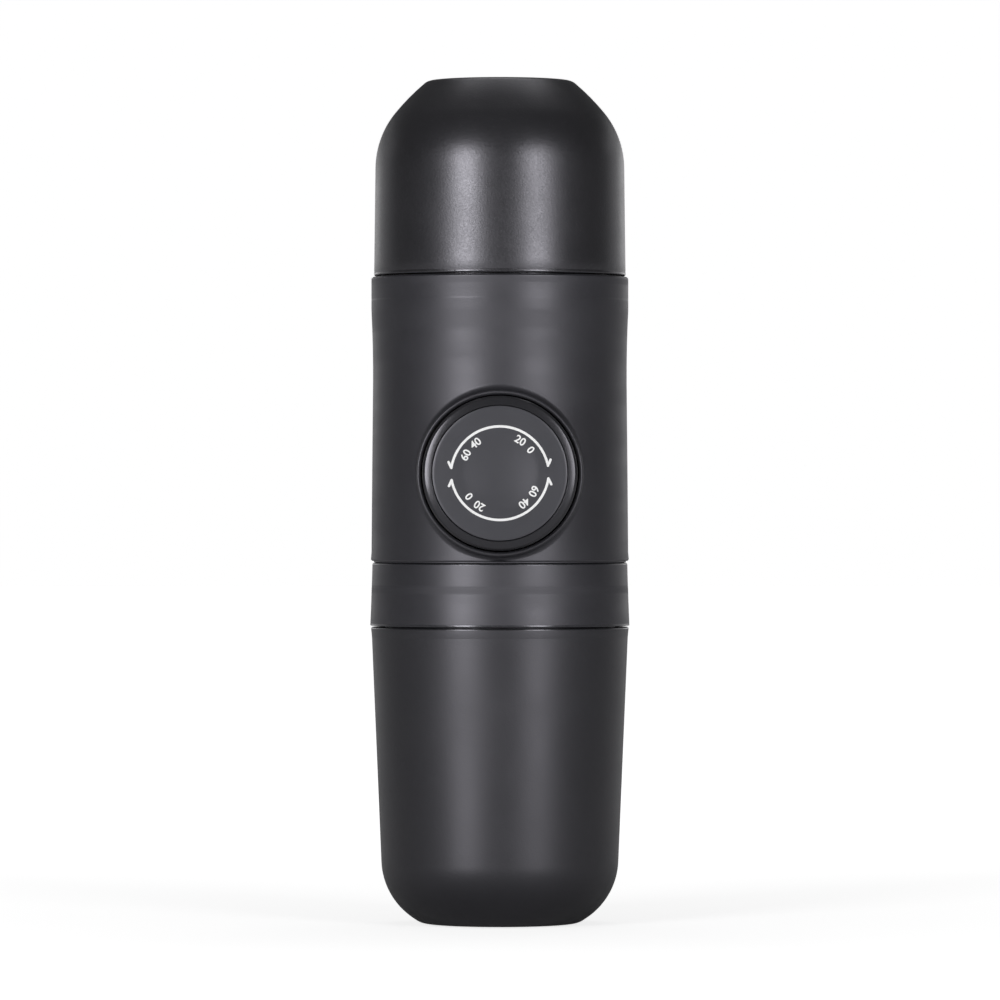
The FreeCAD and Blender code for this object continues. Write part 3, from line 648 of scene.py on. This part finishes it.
rolled_steel = steel("rolled stainless steel", 0.3, (1, 6, 1))
turned_steel = steel("turned stainless steel", 0.26, (1, 1, 8))
grey_plastic = moulded("grey pump plastic", (0.23, 0.24, 0.25), (0.29, 0.30, 0.31), 0.42, 0.003)
black_plastic = moulded("black pump plastic", (0.020, 0.020, 0.021), (0.028, 0.028, 0.030), 0.44, 0.004)
black_rubber = rubber("black rubber", (0.018, 0.018, 0.018), 0.6)
dress(["inlet_filter"], rolled_steel)
dress(["inlet_stem", "pump_cylinder", "outlet_valve_seat", "outlet_stem"], grey_plastic)
dress(["cylinder_plug", "guide_bushing", "inlet_valve_ball", "outlet_valve_ball"], black_plastic)
dress(["flange_screws", "thrust_washer", "body_screws"], turned_steel)
dress(["plug_o_ring", "piston_o_rings"], black_rubber)


# ---- Return spring ---------------------------------------------------------------------------------
# Stainless wire, eight turns around the cylinder. One end stands on the cylinder's flange and the other
# pushes the washer behind the knob, so it opens out with the stroke.
def spring_tree():
    """Geometry tree for a wound spring that stands upright from the origin."""
    tree = bpy.data.node_groups.new("wound spring", "GeometryNodeTree")
    for name in ("Radius", "Wire", "Length", "Turns"):
        tree.interface.new_socket(name, in_out="INPUT", socket_type="NodeSocketFloat")
    tree.interface.new_socket("Steel", in_out="INPUT", socket_type="NodeSocketMaterial")
    tree.interface.new_socket("Spring", in_out="OUTPUT", socket_type="NodeSocketGeometry")
    given = tree.nodes.new("NodeGroupInput")
    made = tree.nodes.new("NodeGroupOutput")
    spiral = tree.nodes.new("GeometryNodeCurveSpiral")
    spiral.inputs["Resolution"].default_value = 48
    wire = tree.nodes.new("GeometryNodeCurvePrimitiveCircle")
    wire.inputs["Resolution"].default_value = 12
    sweep = tree.nodes.new("GeometryNodeCurveToMesh")
    sweep.inputs["Fill Caps"].default_value = True
    real = tree.nodes.new("GeometryNodeRealizeInstances")
    finish = tree.nodes.new("GeometryNodeSetMaterial")
    link = tree.links.new
    link(given.outputs["Radius"], spiral.inputs["Start Radius"])
    link(given.outputs["Radius"], spiral.inputs["End Radius"])
    link(given.outputs["Length"], spiral.inputs["Height"])
    link(given.outputs["Turns"], spiral.inputs["Rotations"])
    link(given.outputs["Wire"], wire.inputs["Radius"])
    link(spiral.outputs[0], sweep.inputs["Curve"])
    link(wire.outputs[0], sweep.inputs["Profile Curve"])
    link(sweep.outputs[0], real.inputs[0])
    link(real.outputs[0], finish.inputs["Geometry"])
    link(given.outputs["Steel"], finish.inputs["Material"])
    link(finish.outputs[0], made.inputs[0])
    return tree


def wound(name, radius, wire_radius, length, turns):
    """Steel spring that stands upright from the origin, in metres, as long as the middle of its wire."""
    piece = put_in_scene(name, bpy.data.meshes.new(name))
    tree = bpy.data.node_groups.get("wound spring") or spring_tree()
    shaped_by(piece, tree, Radius=radius, Wire=wire_radius, Length=length, Turns=turns, Steel=turned_steel)
    piece.data.polygons.foreach_set("use_smooth", [True] * len(piece.data.polygons))
    return piece


knob_axis_height = 0.096


def on_knob_axis(piece, forward=0.0):
    """Lay an upright piece onto the knob's axis, its top towards the front, and move it forward."""
    laid_down = Matrix.Rotation(math.radians(90), 4, "X")
    piece.data.transform(Matrix.Translation((0, -forward, knob_axis_height)) @ laid_down)
    return piece


spring = on_knob_axis(wound("return_spring_coil", 0.0115, 0.0007, 0.0251, 8.0), 0.00475)
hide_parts("return_spring")
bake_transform(spring)


# ---- Valve springs ---------------------------------------------------------------------------------
# Fine stainless wire. Each holds a valve's ball up against its seat, and shortens when the ball is
# pushed down.
def valve_spring(name, node, turns):
    """Spring in the room of its solid, from its foot in the pump body up to the ball."""
    low, high = [Vector(corner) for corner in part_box(node)]
    wire_radius = 0.0002
    middle = (low + high) / 2
    piece = wound(name, 0.0019, wire_radius, high.z - low.z - 2 * wire_radius, turns)
    piece.data.transform(Matrix.Translation((middle.x, middle.y, low.z + wire_radius)))
    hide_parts(node)
    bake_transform(piece)


valve_spring("inlet_valve_coil", "inlet_valve_spring", 3.5)
valve_spring("outlet_valve_coil", "outlet_valve_spring", 5.0)


# ---- Knob ------------------------------------------------------------------------------------------
# Push-and-turn knob: a cup-shaped shell with a polished bevel around a set-in face disc that has a
# shallow dish for the thumb, on the plastic piston rod. White arrows and the degrees of turn are printed
# on the face.
knob_finish = moulded("polished knob plastic", (0.020, 0.020, 0.022), (0.024, 0.024, 0.027), 0.19, 0.0008,
                      grain=1500.0, sheen=blue_sheen)
face_finish = moulded("knob face plastic", (0.027, 0.028, 0.032), (0.032, 0.033, 0.038), 0.36, 0.006,
                      specularity=1.0, sheen=blue_sheen)
print_finish = moulded("white print", (0.86, 0.86, 0.86), (0.92, 0.92, 0.92), 0.5, 0.001)

face_out = 36.38  # the print stands 0.016 mm proud of it
knob_radius = 16.2
knob_bore = 14.2
knob_back = 7.5
face_pocket = 14.25
web_front = face_out - 2.1
web_back = 31.4
screw_pocket = 3.4
screw_hole = 1.6
screw_seat = face_out - 3.8
shell_corners = [(knob_bore, knob_back, 0.3), (knob_radius, knob_back, 0.3)]
shell_corners += [(knob_radius, face_out - 0.98, 0.3), (15.84, face_out - 0.43, 0.7)]
shell_corners += [(14.38, face_out - 0.12, 0.1), (face_pocket, face_out - 0.25, 0)]
shell_corners += [(face_pocket, web_front, 0), (screw_pocket, web_front, 0.1)]
shell_corners += [(screw_pocket, screw_seat, 0), (screw_hole, screw_seat, 0)]
shell_corners += [(screw_hole, web_back, 0), (knob_bore, web_back, 0.4)]
knob_shell = on_knob_axis(turned("knob_cap", eased(shell_corners)))
knob_shell.data.materials.append(knob_finish)
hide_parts("knob_shell")
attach(knob_shell, "knob")

face_radius = 14.0
dish_radius = 8.3
dish_depth = 0.55
dish_curve = 1.3  # power that gives the hollow its soft edge
edge_fall = 0.12


def dish(r):
    """How far the face lies below its highest circle, in the dish and towards its edge, in millimetres."""
    hollow = max(0.0, 1 - (r / dish_radius) ** 2) ** dish_curve
    fall = (max(0.0, r - dish_radius) / (face_radius - dish_radius)) ** 2
    return dish_depth * hollow + edge_fall * fall


face_outline = [(0, face_out - 2.0), (14.1, face_out - 2.0), (14.1, face_out - 0.2), (14.06, face_out - 0.14)]
face_outline += [(r / 2, face_out - dish(r / 2)) for r in range(round(2 * face_radius), -1, -1)]
knob_face = on_knob_axis(turned("knob_disc", face_outline))
knob_face.data.materials.append(face_finish)
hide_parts("knob_face")
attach(knob_face, "knob")
dress(["piston_rod"], black_plastic)
dress(["knob_screw"], turned_steel)

print_radius = 10.25
print_line = 0.52
print_thickness = 0.01
print_layer = 0.002  # step between strokes that cross, so that no two lie in one plane
barb_back, barb_out = 1.12, 0.78
number_radius = 7.3
number_size = 2.3
number_weight = 0.05  # how much wider than the plain letters their lines are printed, on each side


def laid_on_face(x, z, lift=0.0):
    """Point just proud of the knob face; x and z are measured from the knob's axis, in millimetres."""
    out = face_out - dish(math.hypot(x, z)) + print_thickness + lift
    return x / 1000, -out / 1000, z / 1000 + knob_axis_height


def stroke(bm, path, lift=0.0):
    """Flat printed line with round ends along a path of (x, z) points."""
    half = print_line / 2
    rows = []
    for k, (x, z) in enumerate(path):
        ahead = Vector(path[min(k + 1, len(path) - 1)]) - Vector(path[max(k - 1, 0)])
        across = Vector((-ahead.y, ahead.x)).normalized() * half
        pair = [(x + across.x, z + across.y), (x - across.x, z - across.y)]
        rows.append([bm.verts.new(laid_on_face(*p, lift)) for p in pair])
    for one, two in zip(rows, rows[1:]):
        bm.faces.new((one[0], one[1], two[1], two[0]))
    turn = [2 * math.pi * k / 16 for k in range(16)]
    for x, z in (path[0], path[-1]):
        dot = [(x + math.cos(a) * half, z + math.sin(a) * half) for a in turn]
        bm.faces.new([bm.verts.new(laid_on_face(*p, lift + print_layer)) for p in dot])


def arrow(bm, from_angle, to_angle, middle):
    """Printed arc about a point that lies middle above the axis, with a one-sided barb outside each end."""
    angles = [math.radians(from_angle + (to_angle - from_angle) * k / 90) for k in range(91)]
    stroke(bm, [(print_radius * math.cos(a), print_radius * math.sin(a) + middle) for a in angles])
    for end, back in ((from_angle, 1), (to_angle, -1)):
        a = math.radians(end)
        outward = Vector((math.cos(a), math.sin(a)))
        along = Vector((-math.sin(a), math.cos(a))) * back
        tip = outward * print_radius + Vector((0, middle))
        stroke(bm, [tuple(tip), tuple(tip + along * barb_back + outward * barb_out)], 2 * print_layer)


def printed_number(number, angle):
    """A plain number of the dial, standing on an arc inside the arrows."""
    curve = bpy.data.curves.new("number " + number, "FONT")
    curve.body = number
    curve.size = number_size / 1000
    curve.offset = number_weight / 1000
    curve.align_x = "CENTER"
    curve.resolution_u = 6
    holder = put_in_scene("number", curve)
    bpy.context.view_layer.update()
    flat = bpy.data.meshes.new_from_object(holder.evaluated_get(bpy.context.evaluated_depsgraph_get()))
    bpy.data.objects.remove(holder)
    a = math.radians(angle)
    for vertex in flat.vertices:
        u = vertex.co.x * 1000
        v = vertex.co.y * 1000 + number_radius
        vertex.co = laid_on_face(v * math.cos(a) + u * math.sin(a), v * math.sin(a) - u * math.cos(a))
    return flat


bm = bmesh.new()
arrow(bm, 11.5, 171.2, -0.48)
arrow(bm, 190.8, 351.2, 0.48)
for number, angle in (("60", 152), ("40", 129), ("20", 58), ("0", 37)):
    bm.from_mesh(printed_number(number, angle))
    bm.from_mesh(printed_number(number, angle + 180))
bm.normal_update()
for face in bm.faces:
    if face.normal.y > 0:
        face.normal_flip()
print_mesh = bpy.data.meshes.new("knob_arrows")
bm.to_mesh(print_mesh)
bm.free()
print_mesh.materials.append(print_finish)
knob_print = put_in_scene("knob_print", print_mesh)
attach(knob_print, "knob")


# ---- Lower neck and shower -------------------------------------------------------------------------
# Black plug that closes the pump body from below and carries the outlet head's thread, the brewing
# gasket and a perforated steel shower screen held by one screw.
dress(["lower_neck"], black_plastic)
dress(["brew_gasket"], silicone)
dress(["shower_screen"], rolled_steel)
dress(["shower_screw"], turned_steel)


# ---- Outlet head -----------------------------------------------------------------------------------
# Black bowl that holds the coffee basket and ends in the nozzle. Only its rim shows on the closed maker:
# a band that flares slightly towards the cup, with one faint crease around it.
head_finish = moulded("soft-touch head plastic", (0.018, 0.018, 0.021), (0.022, 0.022, 0.026), 0.44, 0.012,
                      specularity=0.9, bands=0.05, sparkle=0.06, sheen=blue_sheen,
                      marks=[(71.4, 1.0, 0.53), (76.85, 0.2, 0.22), (63.85, 0.25, 0.2)])
head_low = 63.6
head_high = 77.0
head_base = 24.76
seat, seat_high = 23.04, 65.3
bowl, bowl_outside = 19.24, 21.24
spout_bore, spout, spout_low, spout_high = 3.6, 5.6, 34.55, 37.55
spigot = 24.54
grip_groove, grip_low, grip_high = 23.74, 59.4, 61.6
# Spout, funnel and outside of the bowl
head_corners = [(spout_bore, spout_low, 0.2), (spout, spout_low, 0.3), (spout, spout_high, 1.2)]
head_corners += [(bowl - 1.0, 44.35, 1.5), (bowl_outside, 47.15, 2.0), (bowl_outside, 56.0, 0.8)]
# Spigot for the cup, with the groove of its grip ring
head_corners += [(spigot, 58.5, 0.8), (spigot, grip_low, 0), (grip_groove, grip_low, 0)]
head_corners += [(grip_groove, grip_high, 0), (spigot, grip_high, 0), (spigot, head_low, 0.1)]
# Band that shows
head_corners += [(27.70, head_low, 0.15), (27.5, 68.6, 6), (27.41, 71.65, 0.15), (27.38, 71.95, 0.15)]
head_corners += [(27.24, head_high, 0.35)]
# Root of the thread, seat of the basket and inside of the bowl
head_corners += [(head_base, head_high, 0.3), (head_base, 65.7, 0), (seat, seat_high, 0)]
head_corners += [(seat, head_low, 0.1), (bowl, head_low, 0.2), (bowl, 47.75, 1.0)]
head_corners += [(bowl - 2.5, 45.95, 1.0), (spout_bore, spout_high, 0.3)]
head = turned("outlet_head_bowl", eased(head_corners))
head.data.materials.append(head_finish)
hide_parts("outlet_head")
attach(head, "head")

head_thread = thread_ridge("outlet_head_thread", head_base, head_base - 1.0, 67.4, 76.4, 2.5)
shaped_by(head_thread, bpy.data.node_groups["thread starts"], Starts=4, Plastic=head_finish)
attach(head_thread, "head")
dress(["outlet_nozzle", "cup_grip_ring"], silicone)


# ---- Coffee basket ---------------------------------------------------------------------------------
# Black moulded cup with a perforated steel disc in its floor. Its flange rests on the seat in the outlet
# head, and the brewing gasket presses on it from above.
dress(["filter_basket"], black_plastic)
dress(["basket_screen"], rolled_steel)


# ---- Drinking cup ----------------------------------------------------------------------------------
# Soft-touch black cup that pushes over the outlet head and is the foot of the closed maker. It tapers to
# a rounded heel and has a thin rolled rim.
cup_finish = moulded("soft-touch cup plastic", (0.012, 0.012, 0.014), (0.016, 0.016, 0.018), 0.42, 0.016,
                     grain=2100.0, specularity=0.85, bands=0.02, sparkle=0.08, sheen=blue_sheen,
                     marks=[(63.15, 0.2, 0.22)])
cup_top = 63.3
cup_radius = 27.44
cup_lip = 27.56
cup_wall = 1.8
cup_taper = 2.41
cup_heel = (15.12, 50.15)
cup_bends = [(0, *cup_heel), (0, 21.8, 5.13), (0, 4.11, 32.31)]
fall = walked((cup_radius, 0), -90 - cup_taper, -1, cup_bends)[-1][1]
cup_bends[0] = ((cup_top + fall) / math.cos(math.radians(cup_taper)), *cup_heel)
cup_outside = walked((cup_radius, cup_top), -90 - cup_taper, -1, cup_bends)
cup_inside = walked((cup_radius, cup_top), -90 - cup_taper, -1, cup_bends, cup_wall)
rim = [(27.33, 60.7, 0), (27.35, 61.2, 1.2), (cup_lip, cup_top, 0.3), (cup_radius - cup_wall, cup_top, 0.45)]
rim = eased(rim + [(cup_radius - cup_wall, 61.5, 0)], False)
outside_high, inside_high = 60.5, 61.4  # heights at which the two sides go over into the rim
cup_outline = [(0, 0), (6, 0), (11, 0)] + [p for p in reversed(cup_outside) if p[1] < outside_high] + rim
cup_outline += [p for p in cup_inside if p[1] < inside_high] + [(r, cup_wall) for r in (11, 6, 0)]
cup = turned("drinking_cup_shell", cup_outline)
cup.data.materials.append(cup_finish)
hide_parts("drinking_cup")
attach(cup, "cup")
